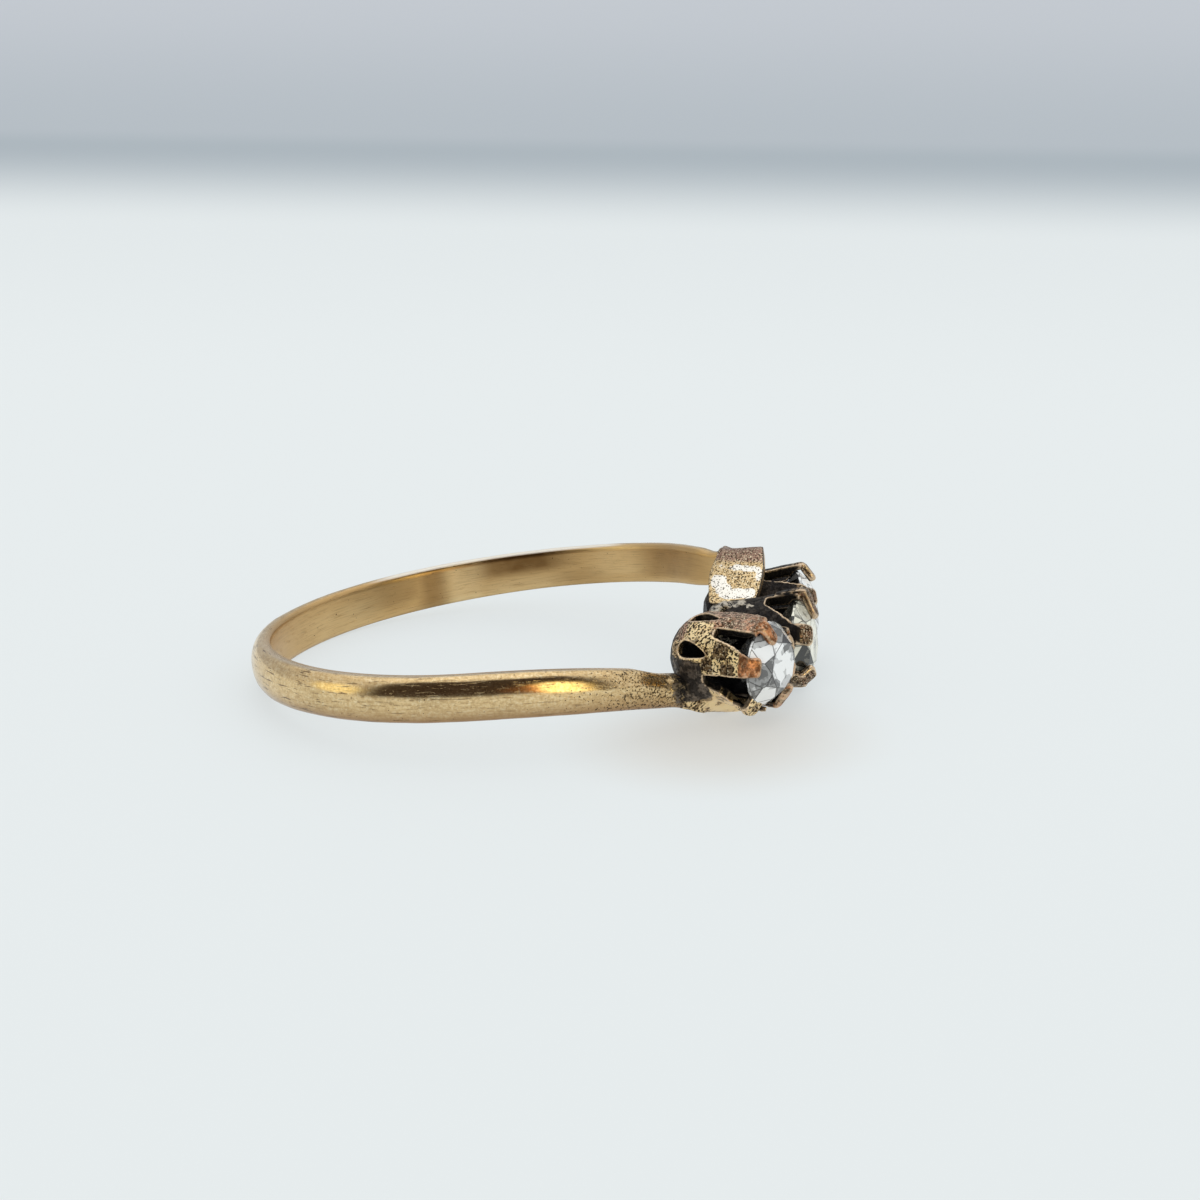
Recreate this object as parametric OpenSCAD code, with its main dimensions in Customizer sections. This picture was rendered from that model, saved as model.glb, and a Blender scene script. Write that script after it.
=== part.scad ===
// Three stone ring, lying on its side: a thin domed band whose ends sweep past each other,
// one under the near stone and one over the far stone, and three pierced claw collets between them.
// The ring is worked out with its axis along Z and its head along +X, then tipped into its rest.

/* [Band] */
// Inside diameter of the finger hole
finger_d = 17; // [15:0.25:20]
// Width of the band at the back of the finger
band_w = 1.76; // [1.4:0.05:2.4]
// Thickness of the band at the crown of its dome
band_t = 0.82; // [0.7:0.05:1.2]
// Thickness of the band at its two edges
edge_t = 0.36; // [0.3:0.02:0.6]
// How far the near end sinks at the shoulder
near_drop = 1.03; // [0.8:0.01:1.1]
// How far the far end rises at the shoulder
far_rise = 1.6; // [1.2:0.05:1.8]

/* [Collets] */
// Angle around the finger from one stone to the next
stone_pitch = 18; // [17:0.25:20]
// Radius of the round bottom of a collet
cup_r = 1.65; // [1.5:0.05:1.75]
// Outside radius of a collet at the bend of its claws
crown_r = 1.9; // [1.85:0.01:1.95]
// Height of the claw bends above the finger hole
bend_h = 3.85; // [3.8:0.05:4]
// Height of the notch between two claws above the finger hole
notch_h = 2.05; // [1.9:0.05:2.2]
// Width of the gap between two claws at the top
gap_w = 1.15; // [0.9:0.05:1.25]

/* [Stones] */
// Diameter of each stone at its girdle
stone_d = 3.16; // [3:0.02:3.2]
// Height of the girdle above the finger hole
girdle_h = 3.7; // [3.6:0.02:3.75]
// Height of the crown above the girdle
crown_h = 0.66; // [0.5:0.02:0.7]
// Depth of the stone below the girdle
pavilion_h = 1.3; // [1.1:0.05:1.35]
// Width of the table as a share of the diameter
table_share = 0.58; // [0.5:0.01:0.65]
// Gap between a stone and the metal round it
clearance = 0.05; // [0.04:0.01:0.08]

/* [Rest] */
// Tip that lifts the head clear of the surface
rest_pitch = 4.18; // [0:0.01:8]
// Lean of the near side towards the surface
rest_lean = 3.23; // [-8:0.01:8]
// Place of the finger hole's centre over the middle of the ring's footprint, and its height
rest_place = [-1.81, -0.02, 1.584]; // [-5:0.001:5]

/* [Hidden] */

finger_r = finger_d / 2;
mid_r = finger_r + band_t / 2;

// Each seat: bearing from the head, height at the finger hole, tilt of its axis, turn of its claws
NEAR = [-stone_pitch, 0, -4.5, 22];
MIDDLE = [0, -0.42, 0, 14];
FAR = [stone_pitch, -0.18, 0, 8];
claws = 6;
claw_step = 360 / claws;

// The band's two halves run from the back of the finger, at bearing 0, towards the head at 180
shoulder_start = 140;
band_step = 5;
function ramp(b, from, to) = max(0, min(1, (b - from) / (to - from)));
function near_height(b) = -near_drop * pow(ramp(b, 98, 150), 2);
function far_height(b) = far_rise * pow(b / 150, 1.75);
function near_width(b) = band_w * (1 - 0.21 * pow(ramp(b, 105, 150), 2));
function far_width(b) = band_w * (1 - 0.12 * ramp(b, 0, 90) - 0.06 * pow(ramp(b, 125, 155), 2));

// Columns of a row: x, y and z of the middle of the metal, lean of its width, width and thickness
LEAN = 3;
WIDTH = 4;
THICK = 5;
near_arc = [for (b = [0:band_step:shoulder_start])
    [-mid_r * cos(b), -mid_r * sin(b), near_height(b), 0, near_width(b), band_t]];
far_arc = [for (b = [0:band_step:shoulder_start])
    [-mid_r * cos(b), mid_r * sin(b), far_height(b), 0, far_width(b), band_t]];
near_shoulder = [
    [finger_r - 0.90, -4.82, -near_drop * 0.92, 0, band_w * 0.80, band_t * 0.97],
    [finger_r - 0.25, -4.33, -near_drop * 1.05, 8, band_w * 0.80, band_t * 0.90],
    [finger_r + 0.40, -3.95, -near_drop * 1.28, 26, band_w * 0.84, band_t * 0.80],
    [finger_r + 0.88, -3.40, -near_drop * 1.68, 58, band_w * 0.94, band_t * 0.68],
    [finger_r + 1.08, -2.60, -near_drop * 2.06, 88, band_w * 1.10, band_t * 0.58],
    [finger_r + 1.12, -1.60, -near_drop * 2.10, 90, band_w * 1.14, band_t * 0.52],
    [finger_r + 1.10, -0.50, -near_drop * 2.06, 90, band_w * 1.00, band_t * 0.48]
];
far_shoulder = [
    [finger_r - 0.85, 4.92, far_rise * 0.93, 0, band_w * 0.84, band_t * 0.97],
    [finger_r - 0.20, 4.45, far_rise * 0.98, 4, band_w * 0.82, band_t * 0.90],
    [finger_r + 0.45, 4.05, far_rise * 1.08, 20, band_w * 0.84, band_t * 0.80],
    [finger_r + 0.92, 3.50, far_rise * 1.32, 64, band_w * 0.90, band_t * 0.68],
    [finger_r + 1.12, 2.70, far_rise * 1.45, 95, band_w * 1.04, band_t * 0.58],
    [finger_r + 1.15, 1.70, far_rise * 1.22, 98, band_w * 1.22, band_t * 0.52],
    [finger_r + 1.15, 0.80, far_rise * 0.86, 92, band_w * 1.14, band_t * 0.48],
    [finger_r + 1.10, 0.10, far_rise * 0.60, 90, band_w * 0.98, band_t * 0.48]
];

// One row between two others, on a smooth curve that also minds their neighbours
function curve(a, b, c, d, t) = 0.5 * (2 * b + (c - a) * t + (2 * a - 5 * b + 4 * c - d) * t * t
    + (3 * b - a - 3 * c + d) * t * t * t);
function row_at(rows, i) = rows[max(0, min(len(rows) - 1, i))];
shoulder_cuts = 3;
function finer(rows, first) = concat(
    [for (i = [0:first - 1]) rows[i]],
    [for (i = [first:len(rows) - 2]) for (s = [0:shoulder_cuts - 1])
        curve(row_at(rows, i - 1), rows[i], rows[i + 1], row_at(rows, i + 2), s / shoulder_cuts)],
    [rows[len(rows) - 1]]
);

// Points of the domed section, x outwards and y up
dome_points = 7;
function section(w, t) = let (edge = edge_t * t / band_t) concat(
    [[-t / 2, w / 2]],
    [for (i = [0:dome_points - 1]) let (a = 90 - 180 * i / (dome_points - 1))
        [edge - t / 2 + (t - edge) * cos(a), w / 2 * sin(a)]],
    [[-t / 2, -w / 2]]
);

// Section of one row set in space; side is -1 on the near half and 1 on the far half
function placed(rows, i, side) = let (
    row = rows[i],
    ahead = row_at(rows, i + 1),
    behind = row_at(rows, i - 1),
    run = i == 0 ? [0, side, 0] : unit([for (k = [0:2]) ahead[k] - behind[k]]),
    lean_way = [-side * sin(row[LEAN]), 0, cos(row[LEAN])],
    width_way = unit(lean_way - run * (run * lean_way)),
    out = cross(width_way, run) * side
) [for (p = section(row[WIDTH], row[THICK]))
    [row[0], row[1], row[2]] + out * p[0] + width_way * p[1]];
function unit(v) = v / norm(v);

module loft(rings) {
    n = len(rings[0]);
    last = len(rings) - 1;
    polyhedron(
        points = [for (ring = rings) for (p = ring) p],
        faces = concat(
            [[for (i = [0:n - 1]) i]],
            [for (j = [0:last - 1]) for (i = [0:n - 1]) let (k = (i + 1) % n)
                [j * n + i, (j + 1) * n + i, (j + 1) * n + k]],
            [for (j = [0:last - 1]) for (i = [0:n - 1]) let (k = (i + 1) % n)
                [j * n + i, (j + 1) * n + k, j * n + k]],
            [[for (i = [n - 1:-1:0]) last * n + i]]
        )
    );
}

module band() {
    near = finer(concat(near_arc, near_shoulder), len(near_arc) - 1);
    far = finer(concat(far_arc, far_shoulder), len(far_arc) - 1);
    loft(concat(
        [for (i = [len(far) - 1:-1:1]) placed(far, i, 1)],
        [for (i = [0:len(near) - 1]) placed(near, i, -1)]
    ));
}

// Puts a collet or stone, made upright on Z with the finger's centre as its origin, in its seat
module seated(seat) {
    rotate([0, 0, seat[0]])
        translate([finger_r, 0, seat[1]])
            rotate([0, 90 - seat[2], 0])
                rotate([0, 0, 180])
                    translate([0, 0, -finger_r])
                        children();
}

// Heights along a collet's axis are counted from the finger's centre
wall = 0.4;
cup_sink = 0.2;
cup_z = finger_r - cup_sink + cup_r;
notch_z = finger_r + notch_h;
bend_z = finger_r + bend_h;
girdle_z = finger_r + girdle_h;
tip_z = girdle_z + 0.6;
stone_r = stone_d / 2;
seat_r = stone_r + clearance;
ledge_r = stone_r - 0.17;
lip_r = stone_r * 0.76;
groove = 0.08;

// Half section of a collet: a round cup that opens into a cone, with a lip that bends over the stone
module collet_outline() {
    difference() {
        union() {
            translate([0, cup_z]) circle(cup_r, $fn = 64);
            polygon([[0, cup_z], [cup_r, cup_z], [crown_r, bend_z - 0.1], [crown_r - 0.08, bend_z + 0.18],
                [crown_r - wall, tip_z - 0.04], [lip_r, tip_z], [0, tip_z]]);
        }
        translate([0, cup_z + 0.1]) circle(cup_r - wall, $fn = 64);
        polygon([[0, cup_z], [cup_r - wall, cup_z + 0.1], [ledge_r, girdle_z - 3 * groove],
            [seat_r, girdle_z - groove], [seat_r, girdle_z + groove], [lip_r, tip_z - 0.1],
            [lip_r, tip_z + 1], [0, tip_z + 1]]);
        translate([-2 * cup_r, 0]) square([2 * cup_r, 2 * tip_z]);
    }
}

// Gap between two claws, cut from the axis outwards
gap_foot_r = 0.16;
module claw_gap() {
    rotate([90, 0, 90])
        linear_extrude(height = 2 * crown_r)
            union() {
                translate([0, notch_z + gap_foot_r]) circle(gap_foot_r, $fn = 24);
                polygon([[-gap_foot_r, notch_z + gap_foot_r], [-gap_w / 2, bend_z], [-gap_w / 2, bend_z + 2],
                    [gap_w / 2, bend_z + 2], [gap_w / 2, bend_z], [gap_foot_r, notch_z + gap_foot_r]]);
            }
}

// Teardrop hole through the cup, under one claw and a little to its side
hole_r = 0.29;
hole_z = finger_r + 0.9;
hole_rise = 0.85;
hole_turn = -12;
module teardrop() {
    rotate([90, 0, 90])
        linear_extrude(height = 2 * crown_r)
            union() {
                translate([0, hole_z]) circle(hole_r, $fn = 24);
                polygon([[-hole_r, hole_z], [hole_r, hole_z], [0.04, hole_z + hole_rise],
                    [-0.04, hole_z + hole_rise]]);
            }
}

module collet(turn) {
    difference() {
        rotate_extrude($fn = 64) collet_outline();
        for (k = [0:claws - 1]) {
            rotate([0, 0, turn + claw_step * (k + 0.5)]) claw_gap();
            rotate([0, 0, turn + claw_step * k + hole_turn]) teardrop();
        }
    }
}

// Old cut stone on its axis, given by rings of corners: table, kites, girdle, pavilion and culet
girdle_t = 0.08;
table_r = stone_r * table_share;
kite_r = stone_r * (1 - 0.42 * (1 - table_share));
function corners(n, r, z, turn) = [for (i = [0:n - 1]) let (a = 360 * (i + turn) / n)
    [r * cos(a), r * sin(a), girdle_z + z]];
module stone() {
    points = concat(
        corners(8, table_r, crown_h, 0.5),
        corners(8, kite_r, crown_h * 0.55, 0),
        corners(16, stone_r, girdle_t / 2, 0.5),
        corners(16, stone_r, -girdle_t / 2, 0.5),
        corners(8, stone_r * 0.45, -pavilion_h * 0.62, 0.5),
        corners(8, stone_r * 0.1, -pavilion_h, 0)
    );
    hull() polyhedron(points = points, faces = [[for (i = [0:len(points) - 1]) i]]);
}

module tipped() {
    translate(rest_place) rotate([-rest_lean, -rest_pitch, 0]) children();
}

// Band and collets soldered into one, with the finger hole bored through
bore_l = 12;
module gold_mount() {
    color("goldenrod")
        tipped()
            difference() {
                union() {
                    band();
                    for (seat = [NEAR, MIDDLE, FAR]) seated(seat) collet(seat[3]);
                }
                cylinder(r = finger_r, h = bore_l, center = true, $fn = 128);
            }
}

module near_stone() {
    color("white") tipped() seated(NEAR) stone();
}

module middle_stone() {
    color("ivory") tipped() seated(MIDDLE) stone();
}

module far_stone() {
    color("whitesmoke") tipped() seated(FAR) stone();
}

gold_mount();
near_stone();
middle_stone();
far_stone();
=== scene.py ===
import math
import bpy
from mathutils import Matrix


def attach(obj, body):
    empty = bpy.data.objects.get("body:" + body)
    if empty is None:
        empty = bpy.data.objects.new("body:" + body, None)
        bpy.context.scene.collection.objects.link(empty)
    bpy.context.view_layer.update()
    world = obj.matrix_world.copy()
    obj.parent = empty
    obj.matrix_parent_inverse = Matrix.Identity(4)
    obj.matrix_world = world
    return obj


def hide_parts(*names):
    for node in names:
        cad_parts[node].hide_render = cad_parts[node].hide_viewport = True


bl_info = {
    "name": "Three stone ring",
    "version": (1, 0, 0),
    "blender": (4, 5, 0),
    "location": "3D View > Sidebar > Ring",
    "description": "Worn gold ring lying on its side, with three old cut stones in pierced claw collets",
    "category": "Add Mesh",
}

import bmesh
import bpy
import numpy as np
from bpy.props import FloatProperty, FloatVectorProperty, PointerProperty
from mathutils import Matrix, Vector, noise

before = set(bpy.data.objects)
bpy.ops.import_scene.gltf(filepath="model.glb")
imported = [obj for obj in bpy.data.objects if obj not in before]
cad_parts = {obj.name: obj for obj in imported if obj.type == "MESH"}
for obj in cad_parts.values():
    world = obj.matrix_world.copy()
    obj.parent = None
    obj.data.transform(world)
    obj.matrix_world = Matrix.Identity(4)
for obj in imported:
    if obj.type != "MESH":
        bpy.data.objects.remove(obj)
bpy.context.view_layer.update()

MM = 0.001

# Rest of the ring on the floor: tip of the head, lean of the near side, and place of the finger hole's
# centre in mm
REST_PITCH = math.radians(4.18)
REST_LEAN = math.radians(3.23)
REST_PLACE = Vector((-1.81, -0.02, 1.584))
REST = (
    Matrix.Translation(REST_PLACE)
    @ Matrix.Rotation(-REST_PITCH, 4, "Y")
    @ Matrix.Rotation(-REST_LEAN, 4, "X")
)
TO_METRES = Matrix.Scale(MM, 4)


# Settings


def length_of(name, description, metres):
    return FloatProperty(name=name, description=description, default=metres, unit="LENGTH")


def colour_of(name, description, default):
    return FloatVectorProperty(name=name, description=description, default=default, subtype="COLOR")


class BandSettings(bpy.types.PropertyGroup):
    """Sizes of the band"""

    finger_d: length_of("Finger hole", "Inside diameter", 0.017)
    width: length_of("Width", "Width at the back of the finger", 0.00176)
    thickness: length_of("Thickness", "Thickness at the crown of the dome", 0.00082)
    edge: length_of("Edge", "Thickness at the two edges", 0.00036)
    near_drop: length_of("Near drop", "How far the near end sinks", 0.00103)
    far_rise: length_of("Far rise", "How far the far end rises", 0.0016)


class ColletSettings(bpy.types.PropertyGroup):
    """Sizes of the three collets"""

    cup_r: length_of("Cup radius", "Radius of the round bottom", 0.00165)
    crown_r: length_of("Crown radius", "Radius at the claw bends", 0.0019)
    bend_h: length_of("Bend height", "Height of the claw bends above the finger hole", 0.00385)
    wall: length_of("Wall", "Thickness of a cup's wall", 0.0004)


class StoneSettings(bpy.types.PropertyGroup):
    """Sizes of the stones"""

    diameter: length_of("Diameter", "Width at the girdle", 0.00316)
    girdle_h: length_of("Girdle height", "Height of the girdle above the finger hole", 0.0037)
    crown_h: length_of("Crown", "Height of the near crown above its girdle", 0.00071)
    pavilion_h: length_of("Pavilion", "Depth below the girdle", 0.0013)


class FinishSettings(bpy.types.PropertyGroup):
    """Colours of the ring"""

    gold: colour_of("Gold", "Polished outside of the band", (0.80, 0.58, 0.30))
    satin: colour_of("Satin", "Inside of the band", (0.63, 0.415, 0.185))
    mauve: colour_of("Mauve", "Rosy tarnish on top of the claws", (0.36, 0.22, 0.165))
    copper: colour_of("Copper", "Ends of the claws", (0.46, 0.20, 0.09))
    # Black of the tarnish at the joints and of the solder, and of the painted shade in the collets' recesses
    soot: colour_of("Tarnish", "Dark tarnish in the recesses", (0.020, 0.019, 0.020))
    crust: colour_of("Crust", "Grey brown crust at the joints", (0.21, 0.175, 0.145))


class StageSettings(bpy.types.PropertyGroup):
    """Floor, light and camera"""

    floor: colour_of("Floor", "Colour of the surface", (0.715, 0.755, 0.765))
    back: colour_of("Back", "Colour of the surface far behind the ring", (0.36, 0.41, 0.45))
    lens: FloatProperty(name="Lens", description="Focal length on a 36 mm sensor", default=119.34)
    distance: length_of("Distance", "From the camera to the ring", 0.15501)


# Small tools


def ramp(value, low, high):
    return max(0.0, min(1.0, (value - low) / (high - low)))


def smooth(value, low, high):
    t = ramp(value, low, high)
    return t * t * (3 - 2 * t)


def spline(rows, cuts):
    """Rows with others between them on a smooth curve."""
    done = []
    last = len(rows) - 1
    for i in range(last):
        a, b, c, d = (np.array(rows[max(0, min(last, k))], float) for k in (i - 1, i, i + 1, i + 2))
        for s in range(cuts):
            t = s / cuts
            curve = 2 * b + (c - a) * t + (2 * a - 5 * b + 4 * c - d) * t**2 + (3 * b - a - 3 * c + d) * t**3
            done.append(0.5 * curve)
    done.append(np.array(rows[-1], float))
    return done


def edges_round(verts):
    """The edges from each vertex of a loop to the next one."""
    pairs = zip(verts, verts[1:] + verts[:1])
    return [next(e for e in v.link_edges if after in e.verts) for v, after in pairs]


def sweep(bm, loops):
    """Skins a row of loops of points, closed at both ends: each loop is extruded from the one before."""
    verts = bmesh.ops.create_circle(bm, cap_ends=False, radius=1, segments=len(loops[0]))["verts"]
    for v, p in zip(verts, loops[0]):
        v.co = p
    ring = edges_round(verts)
    bmesh.ops.contextual_create(bm, geom=ring)
    rows = [verts]
    for loop in loops[1:]:
        made = bmesh.ops.extrude_edge_only(bm, edges=ring)["geom"]
        new = {v for v in made if isinstance(v, bmesh.types.BMVert)}
        nxt = [next(e.other_vert(v) for e in v.link_edges if e.other_vert(v) in new) for v in rows[-1]]
        for v, p in zip(nxt, loop):
            v.co = p
        ring = edges_round(nxt)
        rows.append(nxt)
    bmesh.ops.contextual_create(bm, geom=ring)
    return rows


def mesh_of(bm, name="work"):
    mesh = bpy.data.meshes.new(name)
    bm.to_mesh(mesh)
    bm.free()
    return mesh


def through_modifier(bm, kind, others=(), **settings):
    """The mesh after one modifier, in a fresh bmesh."""
    work = bpy.data.objects.new("work", mesh_of(bm))
    bpy.context.scene.collection.objects.link(work)
    modifier = work.modifiers.new("work", kind)
    for key, value in settings.items():
        setattr(modifier, key, value)
    made = work.evaluated_get(bpy.context.evaluated_depsgraph_get()).to_mesh()
    done = bmesh.new()
    done.from_mesh(made)
    for o in [work, *others]:
        data = o.data
        bpy.data.objects.remove(o)
        bpy.data.meshes.remove(data)
    return done


# What a cut has to leave, as a share of the solid, and what it has to take away, in cubic mm
LEAST_LEFT = 0.5
LEAST_TAKEN = 0.01


def cut_with(bm, cutter):
    """The first solid less the second."""
    before = bm.calc_volume()
    tool = bpy.data.objects.new("cutter", mesh_of(cutter))
    bpy.context.scene.collection.objects.link(tool)
    done = through_modifier(bm, "BOOLEAN", others=[tool], object=tool, operation="DIFFERENCE", solver="EXACT")
    if not LEAST_LEFT * before < done.calc_volume() < before - LEAST_TAKEN:
        raise RuntimeError("a cut took nothing away, or too much")
    return done


def soften(bm, verts, rounds):
    for _ in range(rounds):
        bmesh.ops.smooth_vert(bm, verts=verts, factor=0.5, use_axis_x=True, use_axis_y=True, use_axis_z=True)


def skin_over(bm, voxel, rounds):
    """One worn skin over solids that run into each other."""
    skin = through_modifier(bm, "REMESH", mode="VOXEL", voxel_size=voxel, adaptivity=0.0)
    soften(skin, skin.verts, rounds)
    return skin


def finger_radius(context):
    return context.scene.ring_band.finger_d / MM / 2


def clear_of_finger(bm, finger_r):
    """Presses what would stand in the finger hole back to its wall."""
    for v in bm.verts:
        r = math.hypot(v.co.x, v.co.y)
        if r < finger_r:
            v.co.xy *= finger_r / r


def roughen(bm, bumps, number=0):
    """Small dents and swellings of a hand made surface, from their size, their depth and a seed."""
    size, depth, seed = bumps
    seed += number
    bm.normal_update()
    shift = Vector((seed, 2.3 * seed, 0.7 * seed))
    moves = [v.normal * depth * noise.noise((v.co + shift) / size) for v in bm.verts]
    for v, move in zip(bm.verts, moves):
        v.co += move


def edge_wear(mesh, rounds):
    """How much the surface bends at each vertex: above 0 on outward edges, below 0 in hollows."""
    count = len(mesh.vertices)
    co = np.empty(count * 3, np.float32)
    mesh.vertices.foreach_get("co", co)
    co = co.reshape(-1, 3).astype(float)
    nor = np.empty(count * 3, np.float32)
    mesh.vertex_normals.foreach_get("vector", nor)
    nor = nor.reshape(-1, 3).astype(float)
    ends = np.empty(len(mesh.edges) * 2, np.int32)
    mesh.edges.foreach_get("vertices", ends)
    a, b = ends.reshape(-1, 2).T
    run = co[b] - co[a]
    bend = ((nor[b] - nor[a]) * run).sum(1) / np.maximum((run * run).sum(1), 1e-12)
    total = np.bincount(a, bend, count) + np.bincount(b, bend, count)
    near = np.bincount(a, minlength=count) + np.bincount(b, minlength=count)
    value = total / np.maximum(near, 1)
    for _ in range(rounds):
        mean = (np.bincount(a, value[b], count) + np.bincount(b, value[a], count)) / np.maximum(near, 1)
        value = 0.5 * value + 0.5 * mean
    return value


def write_attribute(mesh, name, values):
    layer = mesh.attributes.get(name) or mesh.attributes.new(name, "FLOAT", "POINT")
    layer.data.foreach_set("value", np.asarray(values, np.float32))


def write_marks(mesh, marks):
    """Attributes of a mesh, from one dictionary for each of its vertices."""
    for name in marks[0]:
        write_attribute(mesh, name, [mark[name] for mark in marks])


def finished(name, mesh, material, nodes, shade_smooth=True):
    """A piece of the ring in its place, from a mesh in millimetres."""
    mesh.transform(TO_METRES @ REST)
    for v in mesh.vertices:
        v.co.z = max(v.co.z, 0.0)
    mesh.name = name
    mesh.materials.clear()
    mesh.materials.append(material)
    mesh.polygons.foreach_set("use_smooth", [shade_smooth] * len(mesh.polygons))
    piece = bpy.data.objects.new(name, mesh)
    bpy.context.scene.collection.objects.link(piece)
    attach(piece, "root")
    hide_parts(*nodes)


# Materials


class Value:
    """A number, vector or colour that varies over a surface."""

    def __init__(self, surface, socket):
        self.surface = surface
        self.socket = socket

    def _math(self, operation, *values):
        return self.surface.node("ShaderNodeMath", {"operation": operation}, *values)

    def __add__(self, other):
        return self._math("ADD", self, other)

    __radd__ = __add__

    def __sub__(self, other):
        return self._math("SUBTRACT", self, other)

    def __rsub__(self, other):
        return self._math("SUBTRACT", other, self)

    def __mul__(self, other):
        return self._math("MULTIPLY", self, other)

    __rmul__ = __mul__

    def between(self, low, high):
        """0 below low, 1 above high, and a soft step between them."""
        settings = {"interpolation_type": "SMOOTHSTEP"}
        return self.surface.node("ShaderNodeMapRange", settings, self, low, high, 0.0, 1.0)

    def most(self, other):
        return self._math("MAXIMUM", self, other)


class Surface:
    """A material or world, built from expressions."""

    def __init__(self, owner):
        owner.use_nodes = True
        self.tree = owner.node_tree
        self.tree.nodes.clear()
        self.owner = owner

    def node(self, kind, settings=None, *values, out=0, **named):
        made = self.tree.nodes.new(kind)
        for key, value in (settings or {}).items():
            setattr(made, key, value)
        sockets = [s for s in made.inputs if s.enabled]
        pairs = list(zip(sockets, values))
        for key, value in named.items():
            pairs.append((next(s for s in sockets if s.name == key.replace("_", " ")), value))
        for socket, value in pairs:
            if isinstance(value, Value):
                self.tree.links.new(value.socket, socket)
            elif value is not None:
                if hasattr(socket.default_value, "__len__") and not hasattr(value, "__len__"):
                    value = (value,) * len(socket.default_value)
                if socket.type == "RGBA" and len(value) == 3:
                    value = (*value, 1.0)
                socket.default_value = value
        outputs = [s for s in made.outputs if s.enabled]
        picked = next(s for s in outputs if s.name == out) if isinstance(out, str) else outputs[out]
        return Value(self, picked)

    def mix(self, share, first, second):
        return self.node("ShaderNodeMix", {"data_type": "RGBA"}, share, first, second)

    def vector(self, operation, *values, out=0):
        return self.node("ShaderNodeVectorMath", {"operation": operation}, *values, out=out)

    def scaled(self, vector, scale):
        return self.vector("MULTIPLY", vector, scale)

    def attribute(self, name):
        return self.node("ShaderNodeAttribute", {"attribute_name": name}, out="Fac")

    def in_mm(self):
        return self.scaled(self.node("ShaderNodeTexCoord", out="Object"), (1000, 1000, 1000))

    def grain(self, vector, scale, detail, rough):
        values = {"Vector": vector, "Scale": scale, "Detail": detail, "Roughness": rough}
        return self.node("ShaderNodeTexNoise", {}, **values, out="Fac")

    def bump(self, height, strength, distance):
        return self.node("ShaderNodeBump", {}, Height=height, Strength=strength, Distance=distance)

    def principled(self, **values):
        return self.node("ShaderNodeBsdfPrincipled", {}, **values, out="BSDF")

    def finish(self, shader, kind="ShaderNodeOutputMaterial"):
        end = self.tree.nodes.new(kind)
        self.tree.links.new(shader.socket, end.inputs["Surface"])
        return self.owner


def metal(surface, colour, roughness, normal):
    return surface.principled(Base_Color=colour, Metallic=1.0, Roughness=roughness, Normal=normal)


def times(colour, share):
    return [share * c for c in colour]


# Colours of marks, painted light and painted shade on the band
BROWN_MOTTLE = (0.40, 0.25, 0.11)
PALE_MOTTLE = (1.0, 0.84, 0.54)
BROWN_DUST = (0.36, 0.22, 0.10)
PALE_GOLD = (1.0, 0.88, 0.62)
SHADE_LOW_BROWN = (0.36, 0.21, 0.10)
GLARE_WHITE = (0.98, 0.95, 0.88)
OUTER_HAIRLINE = (0.40, 0.25, 0.10)
INNER_HAIRLINE = (0.24, 0.15, 0.065)
DEEP_SCRATCH = (0.14, 0.08, 0.035)
PAINTED_SHADE_SATIN = (0.20, 0.105, 0.035)
PAINTED_LIGHT_SATIN = (0.86, 0.66, 0.36)
BAND_PIT = (0.06, 0.038, 0.02)
RIM_HIGHLIGHT_WHITE = (1.0, 0.97, 0.90)

# Colours of marks, painted highlights and painted glints on the collets and the solder
COLLET_BRIGHT = (1.0, 0.80, 0.47)
COLLET_GOLD = (0.80, 0.58, 0.30)
COLLET_BROWN = (0.105, 0.062, 0.036)
COLLET_FLECK = (1.0, 0.88, 0.64)
COLLET_PIT = (0.032, 0.020, 0.012)
EDGE_HIGHLIGHT = (0.93, 0.72, 0.50)
GREY_SOOT = (0.055, 0.047, 0.041)
SOLDER_GLINT = (0.55, 0.50, 0.42)

CLEAR_TINT = (0.95, 0.96, 0.95)
WARM_TINT = (0.93, 0.91, 0.76)
BLACK = (0.0, 0.0, 0.0)


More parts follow.
